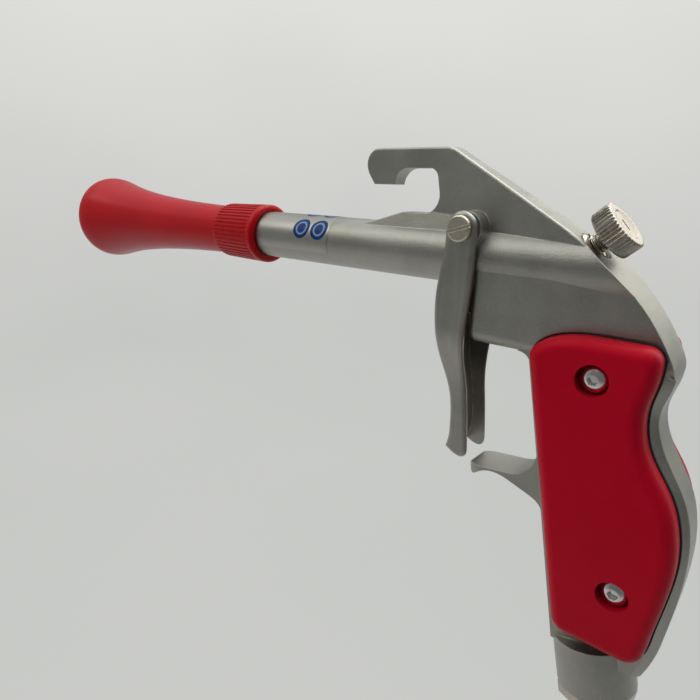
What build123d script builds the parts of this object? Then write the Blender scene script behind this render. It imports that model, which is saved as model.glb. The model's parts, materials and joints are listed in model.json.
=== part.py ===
from build123d import *
import math
import os

# Compressed air cleaning gun with a spinning nozzle: die-cast body, sheet trigger,
# red grips, throttle knob, and a flared plastic nozzle on a union ring.
# All sizes are millimetres. Sizes are set out from the barrel's axis: X runs along
# the barrel and away from the muzzle, Z is up, and Y = 0 is the middle plane.
# Everything is moved at export so that the origin is the mouth of the air inlet.

# Barrel and air bore
barrel_radius = 8.7
barrel_bore = 5.0
barrel_front = -94.0
bore_back = 30.0
hub_socket_radius = 6.5
hub_socket_depth = 12.0

# Body casting
web_half = 3.1          # hook and web above the barrel
web_foot_half = 5.0     # web where it runs out into the barrel
frame_half = 7.0        # handle frame and rear of the spine
block_half = 8.2        # valve block below the barrel
block_front = 4.0
block_bottom = -24.6
edge_round = 0.7

# Trigger and its pivot
pivot_x = 0.6
pivot_z = 8.8
pivot_radius = 2.0
boss_radius = 4.9
boss_half = 9.0
screw_slot_turn = -18.0
sheet = 1.5             # trigger sheet thickness
fork_half = 10.9        # outside of the fork at the pivot
tip_half = 7.3          # outside of the channel at the finger

# Valve, on an axis parallel to the barrel
valve_z = -14.0
chamber_radius = 6.0
chamber_back = 38.0
gland_radius = 6.5
gland_depth = 5.0
stem_radius = 2.0
stem_front = -4.55
seat_front = 22.5
seat_back = 25.5
poppet_radius = 4.8
poppet_length = 3.0
running_gap = 0.05

# Throttle knob, on an axis that leans back over the spine
knob_angle = 41.5
knob_x = 41.9
knob_z = 12.2
knob_radius = 7.0
knob_height = 5.6
knob_ribs = 40
thread_radius = 3.0
collar_radius = 4.4
needle_radius = 2.0
metering_radius = 2.4

# Handle and grips
handle_tilt = 12.5      # air passage and inlet, from the vertical
inlet_x = 54.5
inlet_z = -129.0
passage_radius = 4.0
inlet_bore = 5.9        # tapping size of a G1/4 thread
inlet_depth = 11.0
bushing_radius = 8.0
bushing_length = 16.0
flange_across = 20.0    # across the flats of the bushing's hexagon
flange_thick = 4.0
washer_thick = 1.0
filter_radius = 5.0
filter_thick = 1.8
grip_back = 14.0        # outer face of each grip from the middle plane
gasket = 0.8
grip_round = 3.4        # rounding round the grip's outer face
grip_top = -15.8
grip_foot = -104.0
grip_front_top = 24.9   # low end of the arch over the front top corner
grip_arch_foot = -22.6
grip_arch_back = 42.0
grip_front_foot = 41.2
grip_corners = (4.0, 4.0, 5.0, 5.0)     # front top, rear top, rear foot, front foot
screw_places = [(42.8, -26.2), (56.1, -84.4)]
screw_head_radius = 3.15
screw_head_height = 2.1
screw_head_rim = 0.9    # straight part of the head, below its dome
recess_radius = 4.3
recess_floor = 9.8

# Nozzle
ring_back = -90.6
ring_front = -115.0
ring_back_radius = 11.45
ring_front_radius = 11.0
ring_bore = 9.9
ring_ribs = 44
cone_wall = 1.8
cone_curve = [(-116.0, 9.8), (-195.3, 11.66), (-205.6, 20.9), (-213.7, 19.75)]   # throat to mouth
bearing_pitch = 4.75
ball_radius = 0.95
ball_count = 9
tube_radius = 2.5
tube_offset = 6.0


def bar(radius, start, end):
    """Round bar between two points."""
    start = Vector(*start)
    run = Vector(*end) - start
    return extrude(Plane(origin=start, z_dir=run) * Circle(radius), run.length)


def rod(radius, x_from, x_to, z=0.0):
    """Round bar along the barrel's direction."""
    return bar(radius, (x_from, 0, z), (x_to, 0, z))


def pipe(outer, inner, x_from, x_to, z=0.0):
    """Tube along the barrel's direction."""
    return rod(outer, x_from, x_to, z) - rod(inner, x_from - 1, x_to + 1, z)


def cross_bar(radius, x, z, y_from, y_to):
    """Round bar across the gun."""
    return bar(radius, (x, y_from, z), (x, y_to, z))


def slab(edges, half):
    """Prism of a closed side outline, symmetric about the middle plane."""
    return extrude(Plane.XZ * make_face(edges), half, both=True)


def turned(points):
    """Solid turned about the barrel axis from (x, radius) corners."""
    corners = [(x, radius) for x, radius in points]
    return revolve(Plane.XZ * make_face(Polyline(*corners, close=True)), Axis.X)


knob_dir = Vector(math.cos(math.radians(knob_angle)), 0, math.sin(math.radians(knob_angle)))
handle_dir = Vector(-math.sin(math.radians(handle_tilt)), 0, math.cos(math.radians(handle_tilt)))


def on_knob_axis(distance):
    """Point on the throttle axis, measured back from the knob's face."""
    point = Vector(knob_x, 0, knob_z) + knob_dir * distance
    return point.X, point.Y, point.Z


def on_handle_axis(distance):
    """Point on the inlet axis, measured up from the inlet's mouth."""
    point = Vector(inlet_x, 0, inlet_z) + handle_dir * distance
    return point.X, point.Y, point.Z


# ---- body casting ----

corner_start = (-10.5, 31.5)
corner_end = (-6.765, 30.506)
spine_bend = (27.0, 11.4)
handle_toe = (65.2, -112.0)
rear_points = [spine_bend, (41.0, 1.8), (50.4, -7.2), (57.3, -17.0), (59.9, -23.8), (58.0, -33.0),
               (60.2, -43.0), (67.0, -55.0), (70.5, -75.0), (69.0, -95.0), handle_toe]


def rear_edge():
    """Spine, thumb shoulder, web of the hand and palm swell in one smooth line."""
    return Spline(*rear_points, tangents=[(1, -0.573), (-0.38, -1)])


def handle_front(z):
    """X of the straight front edge of the handle."""
    return 23.1 - 0.196 * (z - block_bottom)


def spine_outline():
    hook = [
        Line((-30.0, 2.0), (-41.5, 6.8)),
        Line((-41.5, 6.8), (-24.7, 12.0)),
        Line((-24.7, 12.0), (-15.6, 12.0)),
        ThreePointArc((-15.6, 12.0), (-12.6, 14.2), (-11.6, 18.0)),
        Line((-11.6, 18.0), (-12.4, 22.4)),
        ThreePointArc((-12.4, 22.4), (-13.6, 24.7), (-16.4, 25.4)),
        Line((-16.4, 25.4), (-23.4, 25.4)),
        ThreePointArc((-23.4, 25.4), (-27.0, 24.1), (-28.7, 20.3)),
        Line((-28.7, 20.3), (-37.0, 20.3)),
        Line((-37.0, 20.3), (-39.9, 24.9)),
        ThreePointArc((-39.9, 24.9), (-39.2, 29.6), (-35.0, 31.5)),
        Line((-35.0, 31.5), corner_start),
        TangentArc(corner_start, corner_end, tangent=(1, 0)),
        Line(corner_end, spine_bend),
    ]
    rest = [Line(handle_toe, (38.0, -112.0)), Line((38.0, -112.0), (-30.0, 2.0))]
    return hook + [rear_edge()] + rest


def plan_prism(x_ends, x_grow, half_front, half_back, z_ends):
    """Prism seen from above: narrow in front, wide behind, with a smooth change between."""
    edges = []
    for side in (-1, 1):
        front, back = side * half_front, side * half_back
        edges += [Line((x_ends[0], front), (x_grow[0], front)),
                  Spline((x_grow[0], front), (x_grow[1], back), tangents=[(1, 0), (1, 0)]),
                  Line((x_grow[1], back), (x_ends[1], back))]
    edges += [Line((x, -half), (x, half)) for x, half in zip(x_ends, (half_front, half_back))]
    return extrude(Pos(0, 0, z_ends[0]) * make_face(edges), z_ends[1] - z_ends[0])


def is_outer_rim(edge):
    """True for the edges over the top of the hook and down the spine."""
    middle = edge.center()
    return middle.Z > 28 or (middle.X > -9 and middle.Z > 12) or middle.X > 33


def runs_along(edge):
    """True for an edge that lies along the outline, not across it or straight down a side."""
    tangent = edge.tangent_at(0.5)
    return abs(tangent.Y) < 0.5 and abs(tangent.Z) < 0.95 and edge.center().Z > -15.9


def make_spine():
    """Hook, web and spine: thin at the hook, wider towards the handle."""
    plan = plan_prism((-60, 90), (-14, 56), web_half, frame_half, (-16, 60))
    whole = slab(spine_outline(), 10)
    plate = whole & plan
    foot = Plane(origin=(-45, 0, 0), x_dir=(0, 1, 0), z_dir=(1, 0, 0)) * make_face(
        Polyline((-web_foot_half, 6.5), (-web_half, 12.5), (web_half, 12.5), (web_foot_half, 6.5), close=True))
    plate += extrude(foot, 40) & whole
    plate -= Pos(block_front - 50, 0, -20) * Box(100, 40, 40)
    rims = [edge for edge in plate.edges()
            if abs(edge.center().Y) > 2 and is_outer_rim(edge) and runs_along(edge)]
    return fillet(rims, edge_round)


def make_handle():
    """Flat handle frame that the grips are screwed to."""
    outline = [
        rear_edge(),
        Line(handle_toe, (handle_front(-112.0), -112.0)),
        Line((handle_front(-112.0), -112.0), (23.1, block_bottom)),
        Line((23.1, block_bottom), (23.1, 5.0)),
        Line((23.1, 5.0), spine_bend),
    ]
    frame = slab(outline, frame_half) & Pos(40, 0, -70) * Box(140, 60, 110)
    rims = [edge for edge in frame.edges()
            if abs(edge.center().Y) > 6.5 and edge.center().X > 55 and edge.length > 30]
    return chamfer(rims, 2.2, 2.2)


def make_block():
    """Valve block under the barrel, with rounded lower edges."""
    plan = plan_prism((block_front, 90), (25, 57), block_half, frame_half, (block_bottom, 0))
    block = slab(spine_outline(), 10) & plan
    block += Pos(0, 0, block_bottom) * extrude(
        make_face(Polyline((block_front, -block_half), (25, -block_half), (25, block_half),
                           (block_front, block_half), close=True)), -block_bottom)
    lower = [edge for edge in block.edges()
             if abs(edge.center().Z - block_bottom) < 0.1 and edge.center().X < 26
             and abs(edge.tangent_at(0.5).X) > 0.9 and abs(edge.center().Y) > 7]
    block = fillet(lower, 3.6)
    front = [edge for edge in block.edges()
             if abs(edge.center().X - block_front) < 0.1 and abs(edge.tangent_at(0.5).Z) > 0.9]
    return fillet(front, 2.0)


def make_guard():
    """Finger rest: a dished tongue with a round tip."""
    top = [(9.2, -64.4), (18.0, -63.6), (25.2, -61.6), (28.4, -57.0), (28.9, -54.0)]
    under = [(33.6, -78.0), (31.0, -69.8), (25.5, -67.2), (10.4, -66.8)]
    outline = [
        Spline((6.6, -65.4), *top, tangents=[(0.3, 1), (0.196, 1)]),
        Line((28.9, -54.0), (34.0, -54.0)),
        Line((34.0, -54.0), (36.0, -78.0)),
        Line((36.0, -78.0), (33.6, -78.0)),
        Spline(*under, (6.6, -65.4), tangents=[(-0.196, 1), (-0.3, 1)]),
    ]
    tongue = slab(outline, 10)
    plan = make_face([
        Line((12.5, 6.5), (45, 6.5)),
        Line((45, 6.5), (45, -6.5)),
        Line((45, -6.5), (12.5, -6.5)),
        ThreePointArc((12.5, -6.5), (5.6, 0), (12.5, 6.5)),
    ])
    return tongue & extrude(Pos(0, 0, -90) * plan, 50)


def make_inner_corner():
    """Rounded web in the corner between the valve block and the front of the handle."""
    x, z = handle_front(block_bottom), block_bottom
    deep_x, deep_z = x + 4, z + 2
    outline = [
        ThreePointArc((x + 0.7, z - 3.5), (x - 0.5, z - 1.1), (x - 3.5, z + 0.1)),
        Polyline((x - 3.5, z + 0.1), (x - 3.5, deep_z), (deep_x, deep_z), (deep_x, z - 3.5), (x + 0.7, z - 3.5)),
    ]
    return slab(outline, frame_half - 0.6)


grip_rear = [(57.4, -21.0), (56.0, -31.0), (57.6, -42.2), (64.4, -53.4), (68.3, -66.0), (68.4, -78.0),
             (66.3, -95.0), (64.8, grip_foot)]


def grip_outline(margin=0.0):
    """Edge of the grip on the handle's side face, grown outwards by a margin."""
    top = grip_top + margin
    foot = grip_foot - margin
    rear = [(x + margin, z) for x, z in grip_rear[:-1]] + [(grip_rear[-1][0] + margin, foot)]
    front_top = (grip_front_top - margin, grip_arch_foot)
    arch_top = (grip_arch_back, top)
    corners = [front_top, (rear[0][0], top), rear[-1], (grip_front_foot - margin, foot)]
    face = make_face([
        Polyline(corners[2], corners[3], front_top),
        Bezier(front_top, (front_top[0] + 1.6, top - 2.4), (grip_arch_back - 9.0, top), arch_top),
        Polyline(arch_top, corners[1], rear[0]),
        Spline(*rear, tangents=[(0, -1), (-0.2, -1)]),
    ])
    for (x, z), radius in zip(corners, grip_corners):
        there = [vertex for vertex in face.vertices() if math.hypot(vertex.X - x, vertex.Y - z) < 0.2]
        face = fillet(there, radius)
    return face


def side_plate(face, y_from, y_to):
    """Plate of a side outline between two distances from the middle plane."""
    return extrude(Plane(origin=(0, y_from, 0), x_dir=(1, 0, 0), z_dir=(0, -1, 0)) * face, y_from - y_to)


def make_body():
    barrel = rod(barrel_radius, barrel_front, 60) & slab(
        [Polyline((-100, -20), (-100, 20), (11, 20.2)), Line((11, 20.2), spine_bend), rear_edge(),
         Polyline(handle_toe, (38, -112), (-100, -20))], 12)
    body = barrel + make_spine() + make_handle() + make_block() + make_guard()
    boss_x = pivot_x + 0.8
    body += cross_bar(boss_radius, boss_x, pivot_z, -boss_half, boss_half)
    body += slab([Polyline((boss_x - 4.7, pivot_z - 1.2), (boss_x + 4.7, pivot_z - 1.2),
                           (boss_x + 1.6, 0.5), (boss_x - 1.6, 0.5), close=True)], boss_half)
    body += make_inner_corner()
    body += bar(11.5, on_handle_axis(flange_thick + washer_thick), on_handle_axis(21))
    for side in (-1, 1):
        pocket = side_plate(grip_outline(0.5), -frame_half, -12)
        body -= pocket if side < 0 else mirror(pocket, Plane.XZ)
    # hook nose, thinned towards its lower edge
    for side in (-1, 1):
        nose = Plane(origin=(0, 0, 0), x_dir=(0, 1, 0), z_dir=(1, 0, 0)) * make_face(
            Polyline((side * web_half, 25.0), (side * 2.5, 19.0), (side * 9, 19.0), (side * 9, 25.0), close=True))
        body -= Pos(-45, 0, 0) * extrude(nose, 19)
    # air bore, valve chamber, passages and threaded holes
    body -= rod(barrel_bore, barrel_front - 1, bore_back)
    body -= rod(hub_socket_radius, barrel_front - 1, barrel_front + hub_socket_depth)
    body -= rod(gland_radius, block_front - 1, block_front + gland_depth, valve_z)
    body -= rod(chamber_radius, block_front, chamber_back, valve_z)
    body -= bar(metering_radius, on_knob_axis(-20), on_knob_axis(-33))
    body -= bar(thread_radius, on_knob_axis(0), on_knob_axis(-20.5))
    body -= bar(collar_radius, on_knob_axis(4), on_knob_axis(-13.7))
    body -= bar(collar_radius + 0.6, on_knob_axis(4), on_knob_axis(-10.4))
    body -= bar(passage_radius, on_handle_axis(15), (29.0, 0, valve_z))
    body -= bar(bushing_radius, on_handle_axis(0), on_handle_axis(bushing_length))
    for x, z in screw_places:
        body -= cross_bar(3.0, x, z, -20, 20)
    body -= cross_bar(pivot_radius + 0.8, pivot_x, pivot_z, -20, 20)
    return body


# ---- grips ----

def make_grip():
    """Left grip: a soft-edged plate with two deep screw recesses."""
    grip = side_plate(grip_outline(), -frame_half - gasket, -grip_back)
    rim = [edge for edge in grip.edges() if abs(edge.center().Y + grip_back) < 0.1]
    grip = fillet(rim, grip_round)
    for x, z in screw_places:
        grip -= cross_bar(recess_radius, x, z, -recess_floor, -grip_back - 2)
        grip -= cross_bar(2.2, x, z, 0, -grip_back)
    return grip


def make_gasket():
    pad = side_plate(grip_outline(0.4), -frame_half, -frame_half - gasket)
    for x, z in screw_places:
        pad -= cross_bar(3.2, x, z, 0, -grip_back)
    return pad


def make_grip_screw(x, z):
    """Domed socket screw, seated in its recess on the left side."""
    top = recess_floor + screw_head_height
    rise = screw_head_height - screw_head_rim
    dome_radius = (screw_head_radius ** 2 + rise ** 2) / (2 * rise)
    head = cross_bar(screw_head_radius, x, z, -recess_floor, -top)
    head &= Pos(x, dome_radius - top, z) * Sphere(dome_radius)
    socket = Plane(origin=(x, -top - 0.1, z), x_dir=(1, 0, 0), z_dir=(0, 1, 0)) * RegularPolygon(1.45, 6)
    head -= extrude(socket, 1.3)
    return head + cross_bar(1.95, x, z, -1.0, -recess_floor)


def make_grip_sleeve(x, z):
    """Threaded sleeve pressed through the handle, shared by the screws of both sides."""
    return cross_bar(3.0, x, z, -frame_half, frame_half) - cross_bar(2.0, x, z, -20, 20)


# ---- trigger ----

trigger_front = [(-4.4, 8.8), (-4.9, 0.0), (-6.3, -8.0), (-6.3, -21.0), (-3.8, -34.0), (-0.9, -46.0),
                 (-0.5, -54.0), (-1.5, -61.2)]


def trigger_face(shift=0.0):
    """Front line of the trigger, moved back by a distance, as one smooth curve."""
    points = [(x + shift, z) for x, z in trigger_front]
    return points, Spline(*points, tangents=[(0, -1), (-0.3, -1)])


def channel_profile(half_top, half_tip):
    """Front view of the channel: wide at the fork, drawn in at the finger."""
    edges = []
    for side in (-1, 1):
        top, tip = side * half_top, side * half_tip
        edges += [Line((top, 20), (top, -21)),
                  Spline((top, -21), (tip, -43), tangents=[(0, -1), (0, -1)]),
                  Line((tip, -43), (tip, -75))]
    edges += [Line((-half_top, 20), (half_top, 20)), Line((-half_tip, -75), (half_tip, -75))]
    face = Plane(origin=(-30, 0, 0), x_dir=(0, 1, 0), z_dir=(1, 0, 0)) * make_face(edges)
    return extrude(face, 80)


def make_trigger():
    """Bent sheet channel, open at the back, with a fork that straddles the barrel."""
    points, front = trigger_face()
    outline = [
        front,
        Bezier(points[-1], (1.0, -63.3), (6.2, -65.6), (6.1, -60.5)),
        Spline((6.1, -60.5), (4.9, -46.0), (3.6, -30.0), (4.7, -13.0), (5.6, 8.8), tangents=[(-0.05, 1), (0, 1)]),
        ThreePointArc((5.6, 8.8), (pivot_x, 13.8), (-4.4, 8.8)),
    ]
    shell = slab(outline, 15) & channel_profile(fork_half, tip_half)
    corners = [edge for edge in shell.edges()
               if edge.center().X < -2 and edge.length > 20 and abs(edge.center().Y) > 5]
    shell = fillet(corners, 1.4)
    points, inner = trigger_face(sheet)
    core = slab([inner, Polyline(points[-1], (points[-1][0], -70), (40, -70), (40, points[0][1]), points[0])], 15)
    core += Pos(0, 0, 30) * Box(60, 40, 60)
    hollow = core & channel_profile(fork_half - sheet, tip_half - sheet)
    shell -= hollow
    shell -= rod(barrel_radius + 0.65, -20, 20)
    shell -= cross_bar(pivot_radius + running_gap, pivot_x, pivot_z, -20, 20)
    return shell


def make_pivot_screw():
    """Slotted pivot screw, head on the left side."""
    head = cross_bar(3.85, pivot_x, pivot_z, -fork_half - 0.1, -fork_half - 1.5)
    crown = [edge for edge in head.edges() if abs(edge.center().Y + fork_half + 1.5) < 0.1]
    head = fillet(crown, 0.7)
    slot = Pos(pivot_x, -fork_half - 1.5, pivot_z) * Rot(0, screw_slot_turn, 0) * Box(9, 1.2, 0.9)
    return head - slot + cross_bar(pivot_radius, pivot_x, pivot_z, -fork_half - 0.1, fork_half + 3.0)


def make_pivot_nut():
    """Hexagon nut on the right side."""
    blank = Plane(origin=(pivot_x, fork_half + 0.1, pivot_z), x_dir=(1, 0, 0), z_dir=(0, 1, 0))
    nut = extrude(blank * RegularPolygon(4.0, 6), 2.6)
    return nut - cross_bar(pivot_radius, pivot_x, pivot_z, 0, 30)


def make_pivot_bush():
    """Bush through the casting that the pivot screw is clamped in."""
    bush = cross_bar(pivot_radius + 0.8, pivot_x, pivot_z, -fork_half + sheet + 0.1, fork_half - sheet - 0.1)
    return bush - cross_bar(pivot_radius, pivot_x, pivot_z, -20, 20)


# ---- valve ----

gland_back = block_front + gland_depth


def make_gland_nut():
    nut = rod(gland_radius, block_front, gland_back, valve_z)
    front = Plane(origin=(block_front - 2.5, 0, valve_z), z_dir=(1, 0, 0))
    nut += extrude(front * RegularPolygon(5.0, 6), 2.5)
    nut -= rod(stem_radius + running_gap, block_front - 5, gland_back + 1, valve_z)
    return nut - rod(4.0, gland_back - 2.5, gland_back + 1, valve_z)


def make_stem():
    """Push rod: domed where the trigger bears on it, thinner through the seat."""
    stem = rod(stem_radius, stem_front, 17.0, valve_z)
    tip = [edge for edge in stem.edges() if abs(edge.center().X - stem_front) < 0.1]
    stem = fillet(tip, 1.6)
    return stem + rod(1.5, 17.0, seat_back + 0.8, valve_z)


def make_poppet():
    """Valve disc on the stem, with a recess at the back for the spring."""
    disc = rod(poppet_radius, seat_back + 0.8, seat_back + poppet_length, valve_z)
    return disc + rod(2.2, seat_back + poppet_length, seat_back + poppet_length + 1.5, valve_z)


def make_poppet_seal():
    seal = rod(poppet_radius, seat_back + 0.05, seat_back + 0.8, valve_z)
    return seal - rod(1.5, 0, 40, valve_z)


spring_front = seat_back + poppet_length
spring_coils = 5.5
spring_radius = 3.4
spring_wire = 0.45


def make_valve_spring():
    """Compression spring between the poppet and the end of the chamber."""
    length = chamber_back - spring_front - 2 * spring_wire
    path = Helix(length / spring_coils, length, spring_radius)
    start = path.position_at(0)
    section = Plane(origin=start, z_dir=path.tangent_at(0)) * Circle(spring_wire)
    coil = sweep(section, path, is_frenet=True)
    return Pos(spring_front + spring_wire, 0, valve_z) * Rot(0, 90, 0) * coil


# ---- throttle ----

def make_knob():
    """Ribbed knob with its threaded shank, made in one piece."""
    base = Plane(origin=on_knob_axis(-knob_height), z_dir=knob_dir)
    head = extrude(base * Circle(knob_radius), knob_height)
    ends = [edge for edge in head.edges() if edge.length > 20]
    head = chamfer(ends, 0.7)
    rib = extrude(Pos(knob_radius, 0, 0) * Rot(0, 0, 45) * Rectangle(0.62, 0.62), knob_height)
    head -= [base * Rot(0, 0, turn * 360 / knob_ribs) * rib for turn in range(knob_ribs)]
    slot = Plane(origin=on_knob_axis(-0.9), z_dir=knob_dir) * extrude(Rectangle(3.2, 0.9), 2)
    dish = bar(4.6, on_knob_axis(-0.35), on_knob_axis(1))
    shank = bar(thread_radius - running_gap, on_knob_axis(-knob_height), on_knob_axis(-16))
    return head - slot - dish + shank


def make_needle():
    """Metering needle below the knob's shank, with a tapered tip."""
    shaft = bar(needle_radius, on_knob_axis(-16.05), on_knob_axis(-25))
    tip = Plane(origin=on_knob_axis(-25), z_dir=-knob_dir) * Pos(0, 0, 1.5) * Cone(needle_radius, 0.6, 3)
    return shaft + tip


def make_collar():
    """Slotted gland collar that the knob's shank runs through."""
    ring = bar(collar_radius, on_knob_axis(-12.4), on_knob_axis(-9.0))
    lip = [edge for edge in ring.edges() if edge.center().X > on_knob_axis(-10)[0]
           and abs(edge.length - 2 * math.pi * collar_radius) < 0.5]
    ring = chamfer(lip, 0.6)
    ring -= bar(thread_radius, on_knob_axis(0), on_knob_axis(-20))
    notch = Plane(origin=on_knob_axis(-9.6), z_dir=knob_dir) * extrude(Rectangle(12, 1.4), 2)
    return ring - notch


def make_throttle_seal():
    ring = bar(collar_radius - 0.1, on_knob_axis(-13.6), on_knob_axis(-12.4))
    return ring - bar(thread_radius, on_knob_axis(0), on_knob_axis(-20))


# ---- nozzle ----

def make_cone():
    """Nozzle: a near-straight throat that flares to a bell with a rolled lip."""
    inner = [(x, radius - cone_wall) for x, radius in cone_curve]
    throat, mouth = cone_curve[0], cone_curve[-1]
    lip = (mouth[0] - cone_wall / 2, mouth[1] - cone_wall / 2)
    profile = [
        Bezier(*cone_curve),
        ThreePointArc(mouth, lip, inner[-1]),
        Bezier(*inner[::-1]),
        Polyline(inner[0], (-112.6, 8.1), (-98.0, 8.1), (-98.0, throat[1]), throat),
    ]
    return revolve(Plane.XZ * make_face(profile), Axis.X)


def make_ring():
    """Union ring: ribbed sleeve with a smooth bevel at the back."""
    ring = turned([(ring_back, 9.1), (ring_back, ring_back_radius - 1.3), (ring_back - 1.6, ring_back_radius),
                   (ring_front + 1.0, ring_front_radius), (ring_front, ring_front_radius - 0.7),
                   (ring_front, ring_bore), (barrel_front, ring_bore), (barrel_front, 9.1)])
    rib = extrude(Plane(origin=(ring_back - 3.0, 0, 0), z_dir=(-1, 0, 0))
                  * Pos(ring_back_radius - 0.1, 0, 0) * Rot(0, 0, 45) * Rectangle(0.62, 0.62), 30)
    return ring - [Rot(turn * 360 / ring_ribs, 0, 0) * rib for turn in range(ring_ribs)]


def make_hub():
    """Bearing carrier: screwed into the barrel, clamped by the union ring."""
    return turned([(-82.2, 3.0), (-82.2, 6.4), (barrel_front, 6.4), (barrel_front, 9.7), (-97.0, 9.7),
                   (-97.0, 8.0), (-112.0, 8.0), (-112.0, 6.5), (-104.0, 6.5), (-104.0, 3.0)])


def make_hub_gasket():
    return pipe(9.5, 8.1, -98.0, -97.0)


def race_groove():
    """Ball track of the bearing."""
    return Plane(origin=(-106.5, 0, 0), z_dir=(1, 0, 0)) * Torus(bearing_pitch, ball_radius + 0.1)


def make_outer_race():
    return pipe(6.5, 5.3, -109.0, -104.0) - race_groove()


def make_inner_race():
    return pipe(4.2, 3.0, -109.0, -104.2) - race_groove()


def ball_places():
    return [Rot(turn * 360 / ball_count, 0, 0) * Pos(-106.5, 0, bearing_pitch) for turn in range(ball_count)]


def make_cage():
    return pipe(5.1, 4.4, -107.9, -105.1) - [place * Sphere(ball_radius + 0.08) for place in ball_places()]


def make_clip():
    """Snap ring that keeps the bearing in the hub."""
    ring = pipe(6.5, 5.0, -110.0, -109.0)
    return ring - Pos(-109.5, 0, 6) * Box(4, 2.4, 5)


def make_rotor():
    """Hollow rotor: journal in the bearing, socket for the tube at the front."""
    return turned([(-104.4, 1.8), (-104.4, 3.0), (-109.0, 3.0), (-109.0, 3.7), (-110.6, 3.7), (-110.6, 4.3),
                   (-124.0, 4.3), (-124.0, tube_radius), (-114.0, tube_radius), (-114.0, 1.8)])


def tube_path():
    corners = [(-114.0, 0, 0), (-130.0, 0, 0), (-150.0, 0, tube_offset), (-190.0, 0, tube_offset)]
    return FilletPolyline(*corners, radius=30)


def make_tube():
    """Bent nylon tube that whirls round inside the nozzle."""
    path = tube_path()
    section = Plane(origin=(-114.0, 0, 0), z_dir=(-1, 0, 0)) * (Circle(tube_radius) - Circle(1.4))
    return sweep(section, path)


def make_weight():
    ring = bar(4.2, (-178.0, 0, tube_offset), (-187.0, 0, tube_offset))
    return ring - bar(tube_radius, (-170.0, 0, tube_offset), (-195.0, 0, tube_offset))


# ---- inlet ----

def make_bushing():
    """Inlet bushing: hexagon flange, outside thread, inside thread for the air plug."""
    flange = Plane(origin=on_handle_axis(0), x_dir=(0, 1, 0), z_dir=handle_dir)
    bushing = extrude(flange * RegularPolygon(flange_across / 2, 6, major_radius=False), flange_thick)
    bushing += bar(bushing_radius, on_handle_axis(flange_thick), on_handle_axis(bushing_length))
    bushing -= bar(inlet_bore, on_handle_axis(-1), on_handle_axis(inlet_depth))
    bushing -= bar(filter_radius, on_handle_axis(inlet_depth - 1), on_handle_axis(inlet_depth + filter_thick))
    return bushing - bar(passage_radius, on_handle_axis(inlet_depth), on_handle_axis(bushing_length + 1))


def make_inlet_washer():
    seat = on_handle_axis(flange_thick)
    body_face = on_handle_axis(flange_thick + washer_thick)
    return bar(10.0, seat, body_face) - bar(bushing_radius, on_handle_axis(0), on_handle_axis(bushing_length))


def make_filter():
    """Sintered filter disc at the bottom of the inlet thread, dished on the inlet side."""
    front, back = on_handle_axis(inlet_depth), on_handle_axis(inlet_depth + filter_thick)
    return bar(filter_radius, front, back) - bar(2.4, on_handle_axis(0), on_handle_axis(inlet_depth + 0.9))


def both_sides(solid):
    return {"left": solid, "right": mirror(solid, Plane.XZ)}


grips = both_sides(make_grip())
gaskets = both_sides(make_gasket())
left_screws = [make_grip_screw(x, z) for x, z in screw_places]

nodes = {
    "gun_body": make_body(),
    "grip_left": grips["left"],
    "grip_right": grips["right"],
    "grip_gasket_left": gaskets["left"],
    "grip_gasket_right": gaskets["right"],
    "grip_screws": Compound(left_screws + [mirror(screw, Plane.XZ) for screw in left_screws]),
    "grip_sleeves": Compound([make_grip_sleeve(x, z) for x, z in screw_places]),
    "trigger": make_trigger(),
    "pivot_screw": make_pivot_screw(),
    "pivot_nut": make_pivot_nut(),
    "pivot_bush": make_pivot_bush(),
    "valve_gland_nut": make_gland_nut(),
    "valve_packing": pipe(4.0, stem_radius + running_gap, gland_back - 2.5, gland_back, valve_z),
    "valve_stem": make_stem(),
    "valve_spacer": pipe(5.95, 4.8, gland_back, 15.0, valve_z),
    "valve_seat": pipe(6.0, 3.2, seat_front, seat_back, valve_z),
    "valve_poppet": make_poppet(),
    "poppet_seal": make_poppet_seal(),
    "valve_spring": make_valve_spring(),
    "throttle_knob": make_knob(),
    "throttle_needle": make_needle(),
    "throttle_collar": make_collar(),
    "throttle_seal": make_throttle_seal(),
    "nozzle_hub": make_hub(),
    "hub_gasket": make_hub_gasket(),
    "nozzle_ring": make_ring(),
    "nozzle_cone": make_cone(),
    "bearing_outer_race": make_outer_race(),
    "bearing_inner_race": make_inner_race(),
    "bearing_balls": Compound([place * Sphere(ball_radius) for place in ball_places()]),
    "bearing_cage": make_cage(),
    "bearing_clip": make_clip(),
    "rotor": make_rotor(),
    "spinner_tube": make_tube(),
    "tube_weight": make_weight(),
    "inlet_bushing": make_bushing(),
    "inlet_washer": make_inlet_washer(),
    "inlet_filter": make_filter(),
}

os.makedirs("parts", exist_ok=True)
to_inlet = Pos(-inlet_x, 0, -inlet_z)
for node, solid in nodes.items():
    export_step(to_inlet * solid, f"parts/{node}.step")
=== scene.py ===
import json
import math

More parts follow.
